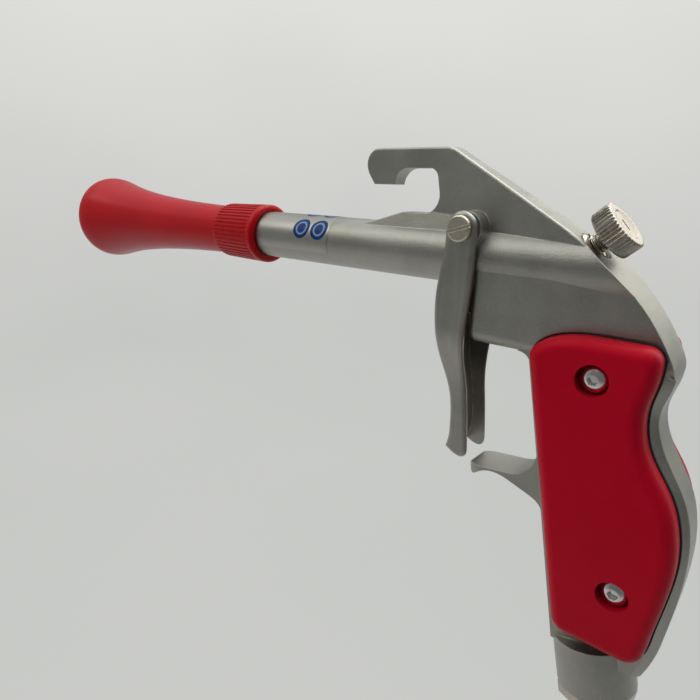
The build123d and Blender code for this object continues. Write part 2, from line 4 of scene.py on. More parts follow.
import bmesh
import bpy
import numpy as np
from mathutils import Matrix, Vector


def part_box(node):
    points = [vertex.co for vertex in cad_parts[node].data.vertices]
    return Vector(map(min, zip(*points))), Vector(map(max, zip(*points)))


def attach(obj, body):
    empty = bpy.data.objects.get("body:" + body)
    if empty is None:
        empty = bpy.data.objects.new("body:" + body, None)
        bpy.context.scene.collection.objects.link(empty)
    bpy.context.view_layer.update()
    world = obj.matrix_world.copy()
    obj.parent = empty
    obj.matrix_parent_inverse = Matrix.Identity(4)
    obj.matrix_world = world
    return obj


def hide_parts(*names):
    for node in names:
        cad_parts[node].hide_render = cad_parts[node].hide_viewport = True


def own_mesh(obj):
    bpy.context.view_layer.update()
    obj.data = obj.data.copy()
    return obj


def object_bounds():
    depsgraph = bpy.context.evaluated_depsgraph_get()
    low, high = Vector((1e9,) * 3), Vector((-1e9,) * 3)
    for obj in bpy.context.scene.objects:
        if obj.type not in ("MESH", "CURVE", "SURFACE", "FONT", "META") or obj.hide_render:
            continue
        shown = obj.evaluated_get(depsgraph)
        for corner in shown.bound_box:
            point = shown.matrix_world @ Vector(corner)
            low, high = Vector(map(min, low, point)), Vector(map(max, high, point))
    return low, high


# Air cleaning gun with a whirling nozzle: the looks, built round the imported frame.
# Metres, +Z up, the muzzle towards -X. The millimetre sizes in the dictionaries are times mm.
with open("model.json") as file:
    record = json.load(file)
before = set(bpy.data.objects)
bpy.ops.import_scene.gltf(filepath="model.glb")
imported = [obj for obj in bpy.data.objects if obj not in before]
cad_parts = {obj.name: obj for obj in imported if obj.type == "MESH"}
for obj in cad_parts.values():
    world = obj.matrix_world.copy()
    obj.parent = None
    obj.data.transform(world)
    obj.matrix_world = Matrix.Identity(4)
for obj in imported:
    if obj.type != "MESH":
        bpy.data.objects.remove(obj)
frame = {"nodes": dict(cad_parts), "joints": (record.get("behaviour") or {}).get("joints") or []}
cadLow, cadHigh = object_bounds()
mm = 0.001
print("frame loaded:", len(frame["nodes"]), "nodes")

joints = {joint["name"]: joint for joint in frame["joints"]}
pivotAt = np.array(joints["trigger_pull"]["pos_m"])
knobAt = np.array(joints["throttle_turn"]["pos_m"])
knobAxis = np.array(joints["throttle_turn"]["axis"])
barrelAt = np.array([0.0, 0.0, joints["rotor_spin"]["pos_m"][2]])
barrelAxis = np.array([1.0, 0.0, 0.0])


# curves and surfaces

def unit(vector):
    return vector / np.linalg.norm(vector)


def bezier(points, count=40):
    # cubic Bezier: the four control points blended by the Bernstein weights of t
    t = np.linspace(0, 1, count)[:, None]
    a, b, c, d = np.array(points, float)
    return (1 - t) ** 3 * a + 3 * t * (1 - t) ** 2 * b + 3 * t * t * (1 - t) * c + t ** 3 * d


def rounded(corners, radii, steps=5):
    # open path through corners; each inner corner becomes the arc that is tangent to both its sides
    corners = np.array(corners, float)
    path = [corners[0]]
    for before, at, after, radius in zip(corners[:-2], corners[1:-1], corners[2:], radii):
        comes, goes = unit(at - before), unit(after - at)
        turn = math.acos(np.clip(comes @ goes, -1, 1))
        if radius == 0 or turn < 0.01:
            path.append(at)
            continue
        centre = at + unit(goes - comes) * radius / math.cos(turn / 2)
        start = at - comes * radius * math.tan(turn / 2) - centre
        end = at + goes * radius * math.tan(turn / 2) - centre
        swing = np.linspace(0, turn, steps)[:, None]
        path.extend(centre + (np.sin(turn - swing) * start + np.sin(swing) * end) / math.sin(turn))
    path.append(corners[-1])
    return np.array(path)


def densify(path, longest):
    # extra points along straight runs, so that no step is longer than the given length
    parts = []
    for start, end in zip(path[:-1], path[1:]):
        steps = max(1, math.ceil(np.linalg.norm(end - start) / longest))
        parts.append(start + (end - start) * np.linspace(0, 1, steps, endpoint=False)[:, None])
    return np.vstack(parts + [path[-1:]])


def around(at, axis, along, radius, angle):
    # a point at a distance along the axis, out from it by the radius, and turned about it by the angle
    axis = unit(np.array(axis, float))
    side = unit(np.cross(axis, [0.0, 1.0, 0.0] if abs(axis[1]) < 0.9 else [0.0, 0.0, 1.0]))
    other = np.cross(axis, side)
    spoke = np.cos(angle)[..., None] * side + np.sin(angle)[..., None] * other
    return np.array(at) + along[..., None] * axis + radius[..., None] * spoke


def turned(profile, at, axis, columns=192, lower=None):
    # surface of revolution: at distance s along the axis and angle w, the radius is r(s) - lower(s, w)
    angle = np.linspace(0, 2 * np.pi, columns, endpoint=False)[None, :]
    along, radius = profile[:, :1], profile[:, 1:2] + 0 * angle
    if lower is not None:
        radius = radius - lower(along, angle)
    return around(at, axis, along, radius, angle)


def gridQuads(rows, columns, start, wrap):
    # quads between neighbouring grid points; wrap joins the last column to the first
    across = columns if wrap else columns - 1
    row, column = np.meshgrid(np.arange(rows - 1), np.arange(across), indexing="ij")
    here, below = row * columns, (row + 1) * columns
    beside = (column + 1) % columns
    corners = [here + column, here + beside, below + beside, below + column]
    return start + np.stack(corners, -1).reshape(-1, 4)


def makePiece(name, grids, body, material, crease=35.0, wrap=True, weld=1e-6):
    # each grid is rows x columns x 3; grids meet along shared points, which are welded here
    points, quads, start = [], [], 0
    for grid in grids:
        points.append(grid.reshape(-1, 3))
        quads.append(gridQuads(grid.shape[0], grid.shape[1], start, wrap))
        start += len(points[-1])
    mesh = bpy.data.meshes.new(name)
    mesh.from_pydata(np.concatenate(points).tolist(), [], np.concatenate(quads).tolist())
    tidy = bmesh.new()
    tidy.from_mesh(mesh)
    bmesh.ops.remove_doubles(tidy, verts=tidy.verts, dist=weld)
    bmesh.ops.recalc_face_normals(tidy, faces=tidy.faces)
    tidy.to_mesh(mesh)
    tidy.free()
    mesh.shade_smooth()
    mesh.set_sharp_from_angle(angle=math.radians(crease))
    mesh.materials.append(material)
    piece = bpy.data.objects.new(name, mesh)
    bpy.context.scene.collection.objects.link(piece)
    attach(piece, body)
    return piece


# shared shader effects

def newGroup(name, inputs, outputs):
    group = bpy.data.node_groups.new(name, "ShaderNodeTree")
    for socket, (kind, value) in inputs.items():
        made = group.interface.new_socket(name=socket, in_out="INPUT", socket_type="NodeSocket" + kind)
        made.default_value = value
    for socket, kind in outputs.items():
        group.interface.new_socket(name=socket, in_out="OUTPUT", socket_type="NodeSocket" + kind)
    return group, group.nodes.new("NodeGroupInput"), group.nodes.new("NodeGroupOutput")


def add(tree, kind, settings=None, inputs=None):
    # one node; settings are its own switches, and an input is a number or another node's output
    node = tree.nodes.new("ShaderNode" + kind)
    for name, value in (settings or {}).items():
        setattr(node, name, value)
    for name, value in (inputs or {}).items():
        if isinstance(value, bpy.types.NodeSocket):
            tree.links.new(value, node.inputs[name])
        else:
            node.inputs[name].default_value = value
    return node


def maths(tree, operation, first, second=0.0, clamp=False):
    return add(tree, "Math", {"operation": operation, "use_clamp": clamp}, {0: first, 1: second}).outputs[0]


def spread(tree, value, low, high, toLow=0.0, toHigh=1.0):
    # value between low and high, carried over to toLow and toHigh
    ranged = {"Value": value, "From Min": low, "From Max": high, "To Min": toLow, "To Max": toHigh}
    return add(tree, "MapRange", None, ranged).outputs[0]


def blendColour(tree, share, first, second):
    node = add(tree, "Mix", {"data_type": "RGBA"}, {0: share})
    for slot, value in ((6, first), (7, second)):
        if isinstance(value, bpy.types.NodeSocket):
            tree.links.new(value, node.inputs[slot])
        else:
            node.inputs[slot].default_value = (*value, 1.0)
    return node.outputs[2]


def makeGrain():
    # cast, blasted or moulded texture: fine noise for height, and broad noise for cloudy tone
    group, given, result = newGroup("surfaceGrain",
                                    {"Scale": ("Float", 1500.0), "Cloud Scale": ("Float", 60.0)},
                                    {"Fine": "Float", "Cloud": "Float"})
    where = add(group, "TexCoord").outputs["Object"]
    fine = add(group, "TexNoise", None, {"Vector": where, "Scale": given.outputs["Scale"], "Detail": 2.0})
    cloud = add(group, "TexNoise", None, {"Vector": where, "Scale": given.outputs["Cloud Scale"],
                                          "Detail": 5.0, "Roughness": 0.6})
    group.links.new(spread(group, fine.outputs[0], 0.3, 0.7), result.inputs["Fine"])
    group.links.new(spread(group, cloud.outputs[0], 0.3, 0.7), result.inputs["Cloud"])
    return group


def makeWear():
    # rubbed edges: where the rounded normal leaves the true one, broken up by noise
    group, given, result = newGroup("edgeWear", {"Width": ("Float", 0.0006), "Amount": ("Float", 1.0)},
                                    {"Mask": "Float", "Normal": "Vector"})
    soft = add(group, "Bevel", {"samples": 4}, {"Radius": given.outputs["Width"]}).outputs[0]
    true = add(group, "NewGeometry").outputs["Normal"]
    alike = add(group, "VectorMath", {"operation": "DOT_PRODUCT"}, {0: soft, 1: true}).outputs["Value"]
    edge = spread(group, alike, 0.995, 0.86)
    where = add(group, "TexCoord").outputs["Object"]
    patches = add(group, "TexNoise", None, {"Vector": where, "Scale": 260.0, "Detail": 4.0}).outputs[0]
    broken = maths(group, "MULTIPLY", edge, spread(group, patches, 0.35, 0.6))
    group.links.new(maths(group, "MULTIPLY", broken, given.outputs["Amount"], True), result.inputs["Mask"])
    group.links.new(soft, result.inputs["Normal"])
    return group


def makeDust():
    # fine settled dust: more on faces that look up, in soft specks
    group, given, result = newGroup("settledDust", {"Amount": ("Float", 0.2)}, {"Mask": "Float"})
    normal = add(group, "NewGeometry").outputs["Normal"]
    upwards = spread(group, add(group, "SeparateXYZ", None, {0: normal}).outputs["Z"], -0.2, 1.0, 0.25, 1.0)
    where = add(group, "TexCoord").outputs["Object"]
    specks = add(group, "TexNoise", None, {"Vector": where, "Scale": 420.0, "Detail": 6.0,
                                           "Roughness": 0.75})
    mask = maths(group, "MULTIPLY", upwards, spread(group, specks.outputs[0], 0.5, 0.8))
    group.links.new(maths(group, "MULTIPLY", mask, given.outputs["Amount"], True), result.inputs["Mask"])
    return group


def makeLines():
    # tool or rolling lines: noise drawn out along one direction by the stretch
    group, given, result = newGroup("toolLines", {"Stretch": ("Vector", (40.0, 900.0, 900.0))},
                                    {"Value": "Float"})
    where = add(group, "TexCoord").outputs["Object"]
    drawn = add(group, "VectorMath", {"operation": "MULTIPLY"}, {0: where, 1: given.outputs["Stretch"]})
    lines = add(group, "TexNoise", None, {"Vector": drawn.outputs[0], "Scale": 1.0, "Detail": 3.0})
    group.links.new(spread(group, lines.outputs[0], 0.3, 0.7), result.inputs["Value"])
    return group


effects = {"grain": makeGrain(), "wear": makeWear(), "dust": makeDust(), "lines": makeLines()}
print("shader groups made")


def effect(tree, name, inputs):
    node = add(tree, "Group", {"node_tree": effects[name]})
    for socket, value in inputs.items():
        node.inputs[socket].default_value = value
    return node.outputs


def newMaterial(name):
    material = bpy.data.materials.new(name)
    material.use_nodes = True
    tree = material.node_tree
    return material, tree, tree.nodes["Principled BSDF"]


def bumped(tree, shader, height, depth, normal):
    bump = add(tree, "Bump", None, {"Height": height, "Distance": depth, "Strength": 1.0, "Normal": normal})
    tree.links.new(bump.outputs[0], shader.inputs["Normal"])


dustLook = {"onMetal": (0.55, 0.53, 0.50), "onPlastic": (0.45, 0.42, 0.40), "rougher": 0.4, "duller": 0.8}
metalLook = {"lineShare": 0.75, "cloudShare": 0.6, "wornSmoother": 0.12}
redBleed = (0.003, 0.0006, 0.0004)          # how far light spreads under milky plastic, red first


def weighed(tree, first, share, second):
    # the first by its share, plus the second by the share that is left
    firstPart = maths(tree, "MULTIPLY", first, share)
    return maths(tree, "ADD", firstPart, maths(tree, "MULTIPLY", second, 1 - share))


def roughened(tree, shader, base, dustMask):
    # dust adds to the roughness
    added = maths(tree, "MULTIPLY", dustMask, dustLook["rougher"])
    tree.links.new(maths(tree, "ADD", base, added, True), shader.inputs["Roughness"])


def metal(name, look):
    # metal with cloudy tone, grain or drawn lines, brighter rubbed edges and a little dust
    material, tree, shader = newMaterial(name)
    grain = effect(tree, "grain", {"Scale": look["grain"], "Cloud Scale": look.get("clouds", 60.0)})
    worn = effect(tree, "wear", {"Width": look["edge"], "Amount": look.get("worn", 0.6)})
    dust = effect(tree, "dust", {"Amount": look.get("dust", 0.0)})
    fine = grain["Fine"]
    if "stretch" in look:
        lines = effect(tree, "lines", {"Stretch": look["stretch"]})["Value"]
        fine = weighed(tree, lines, metalLook["lineShare"], fine)
    tone = weighed(tree, grain["Cloud"], metalLook["cloudShare"], fine)
    colour = blendColour(tree, tone, look["dark"], look["light"])
    colour = blendColour(tree, worn["Mask"], colour, look.get("rubbed", look["light"]))
    colour = blendColour(tree, dust["Mask"], colour, dustLook["onMetal"])
    tree.links.new(colour, shader.inputs["Base Color"])
    smooth, rough = look["rough"]
    base = spread(tree, tone, 0.0, 1.0, smooth, rough)
    base = maths(tree, "SUBTRACT", base, maths(tree, "MULTIPLY", worn["Mask"], metalLook["wornSmoother"]))
    roughened(tree, shader, base, dust["Mask"])
    dulled = maths(tree, "MULTIPLY", dust["Mask"], dustLook["duller"])
    tree.links.new(maths(tree, "SUBTRACT", 1.0, dulled, True), shader.inputs["Metallic"])
    bumped(tree, shader, fine, look["depth"], worn["Normal"])
    return material


def plastic(name, look):
    # moulded plastic or rubber: even colour with faint clouds, fine texture, paler rubbed edges and dust
    material, tree, shader = newMaterial(name)
    grain = effect(tree, "grain", {"Scale": look["grain"], "Cloud Scale": look.get("clouds", 45.0)})
    worn = effect(tree, "wear", {"Width": look["edge"], "Amount": look.get("worn", 0.25)})
    dust = effect(tree, "dust", {"Amount": look.get("dust", 0.015)})
    colour = blendColour(tree, grain["Cloud"], look["dark"], look["light"])
    colour = blendColour(tree, worn["Mask"], colour, look.get("rubbed", look["light"]))
    colour = blendColour(tree, dust["Mask"], colour, dustLook["onPlastic"])
    tree.links.new(colour, shader.inputs["Base Color"])
    smooth, rough = look["rough"]
    base = spread(tree, grain["Cloud"], 0.0, 1.0, smooth, rough)
    roughened(tree, shader, base, dust["Mask"])
    shader.inputs["Specular IOR Level"].default_value = look.get("shine", 0.5)
    shader.inputs["Specular Tint"].default_value = (*look.get("tint", (1.0, 1.0, 1.0)), 1.0)
    shader.inputs["Subsurface Weight"].default_value = look.get("glow", 0.0)
    shader.inputs["Subsurface Radius"].default_value = redBleed
    bump = add(tree, "Bump", None, {"Height": grain["Fine"], "Distance": look["depth"], "Strength": 1.0})
    tree.links.new(bump.outputs[0], shader.inputs["Normal"])
    return material


def rings(name, look):
    # printed discs: colour steps from the middle outwards, read from the piece's own UV map
    material, tree, shader = newMaterial(name)
    where = add(tree, "UVMap", {"uv_map": "discMap"}).outputs[0]
    reach = add(tree, "SeparateXYZ", None, {0: where}).outputs["X"]
    ramp = add(tree, "ValToRGB", None, {"Fac": reach})
    for index, (place, colour) in enumerate(look["bands"]):
        stop = ramp.color_ramp.elements[index] if index < 2 else ramp.color_ramp.elements.new(place)
        stop.position = place
        stop.color = (*colour, 1.0)
    grain = effect(tree, "grain", {"Scale": look["grain"], "Cloud Scale": look["clouds"]})
    fade = maths(tree, "MULTIPLY", grain["Cloud"], look["fade"])
    faded = blendColour(tree, fade, ramp.outputs[0], look["faded"])
    tree.links.new(faded, shader.inputs["Base Color"])
    tree.links.new(spread(tree, grain["Fine"], 0.0, 1.0, *look["rough"]), shader.inputs["Roughness"])
    shader.inputs["Specular IOR Level"].default_value = look["shine"]
    return material


materials = {
    "blasted": metal("blastedAluminium", {
        "dark": (0.29, 0.285, 0.245), "light": (0.42, 0.415, 0.365), "rubbed": (0.60, 0.59, 0.50),
        "grain": 2600.0, "clouds": 70.0, "rough": (0.38, 0.50), "edge": 0.0005, "worn": 0.7,
        "depth": 0.000035, "dust": 0.03}),
    "sheet": metal("pressedSheet", {
        "dark": (0.28, 0.275, 0.24), "light": (0.42, 0.415, 0.365), "rubbed": (0.62, 0.60, 0.50),
        "grain": 2600.0, "clouds": 90.0, "rough": (0.34, 0.46), "edge": 0.0005, "worn": 0.85,
        "depth": 0.000015, "stretch": (900.0, 900.0, 60.0)}),
    "nickel": metal("satinNickel", {
        "dark": (0.34, 0.305, 0.25), "light": (0.56, 0.52, 0.44), "rubbed": (0.88, 0.83, 0.71),
        "grain": 1500.0, "rough": (0.24, 0.38), "edge": 0.0003, "worn": 1.0, "depth": 0.00001}),
    "zinc": metal("yellowZinc", {
        "dark": (0.46, 0.42, 0.32), "light": (0.70, 0.65, 0.52), "rubbed": (0.75, 0.70, 0.55),
        "grain": 1300.0, "rough": (0.26, 0.40), "edge": 0.0003, "worn": 0.8, "depth": 0.00001}),
    "bright": metal("polishedSteel", {
        "dark": (0.66, 0.64, 0.60), "light": (0.84, 0.82, 0.77), "grain": 700.0, "rough": (0.10, 0.22),
        "edge": 0.0002, "depth": 0.000004}),
    "brass": metal("turnedBrass", {
        "dark": (0.56, 0.40, 0.17), "light": (0.76, 0.58, 0.27), "grain": 900.0, "rough": (0.25, 0.42),
        "edge": 0.0003, "depth": 0.00001, "stretch": (1600.0, 60.0, 60.0)}),
    "steel": metal("groundSteel", {
        "dark": (0.38, 0.38, 0.38), "light": (0.58, 0.58, 0.57), "grain": 1000.0, "rough": (0.2, 0.35),
        "edge": 0.0002, "depth": 0.000006}),
    "redGrip": plastic("redGripPlastic", {
        "dark": (0.34, 0.0014, 0.0125), "light": (0.39, 0.0020, 0.015), "rubbed": (0.60, 0.012, 0.024),
        "grain": 2600.0, "rough": (0.40, 0.48), "edge": 0.0004, "dust": 0.002, "depth": 0.000006,
        "shine": 0.22, "tint": (1.0, 0.24, 0.20)}),
    "redNozzle": plastic("redNozzlePlastic", {
        "dark": (0.33, 0.0020, 0.007), "light": (0.38, 0.0028, 0.009), "rubbed": (0.68, 0.05, 0.03),
        "grain": 1200.0, "rough": (0.28, 0.36), "edge": 0.0002, "dust": 0.002, "depth": 0.000001,
        "shine": 0.34, "tint": (1.0, 0.30, 0.20)}),
    "rubber": plastic("blackRubber", {
        "dark": (0.008, 0.008, 0.010), "light": (0.02, 0.02, 0.022), "grain": 1600.0, "rough": (0.55, 0.75),
        "edge": 0.0002, "depth": 0.00002, "shine": 0.3}),
    "darkPlastic": plastic("darkPlastic", {
        "dark": (0.012, 0.012, 0.014), "light": (0.03, 0.03, 0.033), "grain": 1200.0, "rough": (0.3, 0.42),
        "edge": 0.0002, "depth": 0.000006}),
    "nylon": plastic("milkyNylon", {
        "dark": (0.60, 0.60, 0.56), "light": (0.72, 0.72, 0.68), "grain": 700.0, "rough": (0.22, 0.32),
        "edge": 0.0002, "depth": 0.000004, "glow": 0.35}),
    "foil": metal("silverFoil", {
        "dark": (0.34, 0.335, 0.295), "light": (0.42, 0.415, 0.37), "grain": 2200.0, "clouds": 50.0,
        "rough": (0.34, 0.40), "edge": 0.0001, "worn": 0.2, "depth": 0.000002}),
    "discs": rings("blueDiscs", {
        "bands": [(0.0, (0.001, 0.016, 0.10)), (0.46, (0.0012, 0.020, 0.115)), (0.57, (0.16, 0.26, 0.38)),
                  (0.63, (0.16, 0.26, 0.38)), (0.72, (0.0012, 0.022, 0.12)), (1.0, (0.001, 0.014, 0.08))],
        "grain": 1400.0, "clouds": 300.0, "rough": (0.26, 0.38), "fade": 0.05, "faded": (0.10, 0.22, 0.42),
        "shine": 0.15}),
}

finishes = {
    "gun_body": "blasted", "trigger": "sheet", "grip_left": "redGrip", "grip_right": "redGrip",
    "grip_gasket_left": "rubber", "grip_gasket_right": "rubber", "grip_screws": "bright",
    "grip_sleeves": "brass", "pivot_screw": "zinc", "pivot_nut": "nickel", "pivot_bush": "brass",
    "valve_gland_nut": "brass",
    "valve_packing": "rubber", "valve_stem": "steel", "valve_spacer": "brass", "valve_seat": "brass",
    "valve_poppet": "brass", "poppet_seal": "rubber", "valve_spring": "steel", "throttle_knob": "nickel",
    "throttle_needle": "steel", "throttle_collar": "nickel", "throttle_seal": "rubber",
    "nozzle_hub": "brass", "hub_gasket": "rubber", "nozzle_ring": "redNozzle", "nozzle_cone": "redNozzle",
    "bearing_outer_race": "steel", "bearing_inner_race": "steel", "bearing_balls": "bright",
    "bearing_cage": "darkPlastic", "bearing_clip": "steel", "rotor": "brass", "spinner_tube": "nylon",
    "tube_weight": "darkPlastic", "inlet_bushing": "nickel", "inlet_washer": "rubber",
    "inlet_filter": "brass",
}
for node, finish in finishes.items():
    mesh = frame["nodes"][node].data
    mesh.materials.clear()
    mesh.materials.append(materials[finish])
print("materials on", len(finishes), "nodes")


# nozzle bell

bell = {"wall": 1.8 * mm, "throat": 9.8 * mm, "throatLeave": (79.3 * mm, 1.86 * mm), "mouth": 19.75 * mm,
        "mouthLeave": (8.1 * mm, 1.15 * mm), "sleeve": 8.1 * mm, "sleeveStart": 3.4 * mm,
        "shoulder": 1.5 * mm, "edge": 0.3 * mm, "intoRing": 1.0 * mm, "steps": 72,
        "lipSteps": 9, "columns": 160}


def makeBell():
    # outer line: one cubic Bezier from the throat to the mouth; inner line: the same, a wall's thickness in
    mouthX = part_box("nozzle_cone")[0].x + bell["wall"] / 2
    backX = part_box("nozzle_cone")[1].x
    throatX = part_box("nozzle_ring")[0].x - bell["intoRing"]
    throatRun, throatRise = bell["throatLeave"]
    mouthRun, mouthRise = bell["mouthLeave"]
    outer = bezier([(throatX, bell["throat"]), (throatX - throatRun, bell["throat"] + throatRise),
                    (mouthX + mouthRun, bell["mouth"] + mouthRise), (mouthX, bell["mouth"])], bell["steps"])
    inner = outer[::-1] - [0.0, bell["wall"]]
    half = bell["wall"] / 2
    sweep = np.linspace(0, np.pi, bell["lipSteps"])[1:-1, None]
    lip = outer[-1] - [0, half] + half * np.hstack([-np.sin(sweep), np.cos(sweep)])
    sleeve = rounded([inner[-1], (throatX + bell["sleeveStart"], bell["sleeve"]), (backX, bell["sleeve"]),
                      (backX, bell["throat"]), outer[0]], [bell["shoulder"], bell["edge"], bell["edge"]])
    profile = np.vstack([outer, lip, inner, sleeve[1:]])
    surface = turned(profile, barrelAt, barrelAxis, bell["columns"])
    piece = makePiece("nozzle_bell", [surface], "gun_body", materials["redNozzle"])
    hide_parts("nozzle_cone")


# union ring

ring = {"ribs": 44, "ribDepth": 0.42 * mm, "smoothBack": 2.6 * mm, "bevel": 1.5 * mm, "lip": 0.7 * mm,
        "bore": 9.1 * mm, "seat": 9.9 * mm, "seatBack": 3.4 * mm, "taper": 0.45 * mm, "edge": 0.2 * mm,
        "step": 0.8 * mm, "fade": 0.5 * mm, "waveStart": 0.25, "waveSteep": 2.2, "columnsPerRib": 12}


def makeRing():
    # straight ribs: the radius drops by a flat-bottomed wave round the ring, which fades out at both ends
    frontX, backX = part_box("nozzle_ring")[0].x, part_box("nozzle_ring")[1].x
    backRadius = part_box("nozzle_ring")[1].y
    frontRadius = backRadius - ring["taper"]
    seatX = backX - ring["seatBack"]
    outside = rounded([(frontX, ring["seat"]), (frontX, frontRadius), (backX, backRadius),
                       (backX, ring["bore"])], [ring["lip"], ring["bevel"]], 8)
    outside = densify(outside, ring["step"])
    inside = rounded([(backX, ring["bore"]), (seatX, ring["bore"]), (seatX, ring["seat"]),
                      (frontX, ring["seat"])], [ring["edge"], ring["edge"]], 4)
    profile = np.vstack([outside, inside[1:]])

    def ribs(along, angle):
        wave = 0.5 - 0.5 * np.cos(ring["ribs"] * angle)
        groove = np.clip((wave - ring["waveStart"]) * ring["waveSteep"], 0, 1)
        shown = np.clip((backX - ring["smoothBack"] - along) / ring["fade"], 0, 1)
        onOutside = (np.arange(len(profile)) < len(outside) - 1)[:, None]
        pastSeat = profile[:, 1:2] > ring["seat"] + ring["fade"]
        return ring["ribDepth"] * groove * shown * (onOutside & pastSeat)

    surface = turned(profile, barrelAt, barrelAxis, ring["ribs"] * ring["columnsPerRib"], ribs)
    piece = makePiece("union_ring", [surface], "gun_body", materials["redNozzle"], 50.0)
    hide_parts("nozzle_ring")


# throttle knob

knob = {"radius": 7.0 * mm, "height": 5.6 * mm, "ribs": 40, "ribDepth": 0.55 * mm, "bevel": 0.7 * mm,
        "dish": 4.6 * mm, "dishDepth": 0.35 * mm, "slot": (1.6 * mm, 0.45 * mm), "slotDepth": 0.55 * mm,
        "shank": 2.95 * mm, "shankEnd": 16.0 * mm, "pitch": 1.0 * mm, "threadDepth": 0.42 * mm,
        "threadRunOut": 0.4 * mm, "threadSteps": 90, "step": 0.6 * mm, "columnsPerRib": 8, "dishSteep": 6,
        "faceRings": 8}


def slotEdge(angle, halfLong, halfWide):
    # rectangle seen from its middle: the shorter reach to the long or the short side at each angle
    toShortSide = halfLong / np.maximum(np.abs(np.cos(angle)), 1e-6)
    toLongSide = halfWide / np.maximum(np.abs(np.sin(angle)), 1e-6)
    return np.minimum(toShortSide, toLongSide)


def makeKnob():
    columns = knob["ribs"] * knob["columnsPerRib"]
    head = rounded([(0.0, knob["dish"]), (0.0, knob["radius"]), (-knob["height"], knob["radius"]),
                    (-knob["height"], knob["shank"])], [knob["bevel"], knob["bevel"]], 5)
    head = densify(head, knob["step"])

    def ribs(along, angle):
        # sharp ribs round the rim: a folded wave, faded out over both bevels
        fold = np.abs(((angle * knob["ribs"] / (2 * np.pi)) % 1.0) * 2 - 1)
        rim = np.clip((head[:, 1:2] - knob["radius"] + knob["bevel"]) / knob["bevel"], 0, 1)
        return knob["ribDepth"] * fold * rim

    shankLine = np.linspace(-knob["height"], -knob["shankEnd"], knob["threadSteps"])[:, None]
    shank = np.hstack([shankLine, np.full_like(shankLine, knob["shank"])])

    def thread(along, angle):
        # screw thread: a folded wave of the distance along the shank plus the share of a turn
        turnShare = (along / knob["pitch"] + angle / (2 * np.pi)) % 1.0
        run = np.clip((-knob["height"] - along) / knob["threadRunOut"], 0, 1)
        return knob["threadDepth"] * np.abs(turnShare * 2 - 1) * run

    end = np.array([(-knob["shankEnd"], knob["shank"]), (-knob["shankEnd"], 0.0)])

    def endLower(along, angle):
        return thread(along, angle) * (np.arange(2) < 1)[:, None]

    # face: rings that go from the dish's round edge to the slot's straight one, then down to its floor
    angle = np.linspace(0, 2 * np.pi, columns, endpoint=False)[None, :]
    share = np.linspace(0, 1, knob["faceRings"])[:, None]
    wall = slotEdge(angle, *knob["slot"])
    reach = knob["dish"] * (1 - share) + wall * share
    dip = -knob["dishDepth"] * np.clip(share * knob["dishSteep"], 0, 1) + 0 * angle
    slotFloor = 0 * wall - knob["dishDepth"] - knob["slotDepth"]
    reach = np.vstack([reach, wall, 0 * wall])
    dip = np.vstack([dip, slotFloor, slotFloor])
    grids = [around(knobAt, knobAxis, dip, reach, angle)]
    for profile, lower in ((head, ribs), (shank, thread), (end, endLower)):
        grids.append(turned(profile, knobAt, knobAxis, columns, lower))
    piece = makePiece("ribbed_knob", grids, "throttle_knob", materials["nickel"], 28.0)
    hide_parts("throttle_knob")


# barrel foil with blue discs

foil = {"radius": 8.74 * mm, "from": -90.0 * mm, "to": -53.0 * mm, "low": -25.0, "high": 150.0,
        "thick": 0.05 * mm, "sunk": 0.02 * mm, "rows": 24, "columns": 40}
discs = {"radius": 3.9 * mm, "lift": 0.09 * mm, "rings": 12, "columns": 48,
         "places": [(-66.3, 31.0), (-57.7, 31.0), (-66.3, 98.0), (-57.7, 98.0)]}
barrelHeadX = pivotAt[0] - 0.6 * mm         # the barrel sizes are set out from here


def onBarrel(x, angle, radius):
    # point on the barrel's left side: angle counts up from the level line, in degrees
    turn = np.radians(angle)
    return np.stack([x, -radius * np.cos(turn), barrelAt[2] + radius * np.sin(turn)], -1)


def makeFoil():
    # a patch of the barrel's cylinder with a thin rim, its underside sunk just below the surface
    x = barrelHeadX + np.linspace(foil["from"], foil["to"], foil["rows"])[:, None]
    angle = np.linspace(foil["low"], foil["high"], foil["columns"])[None, :]
    x, angle = np.broadcast_arrays(x, angle)
    top = onBarrel(x, angle, foil["radius"] + foil["thick"])
    under = onBarrel(x, angle, foil["radius"] - foil["sunk"])
    edges = ((top[0], under[0]), (under[-1], top[-1]), (under[:, 0], top[:, 0]), (top[:, -1], under[:, -1]))
    grids = [top, under[::-1]] + [np.stack(edge, 0) for edge in edges]
    piece = makePiece("barrel_foil", grids, "gun_body", materials["foil"], 35.0, wrap=False)


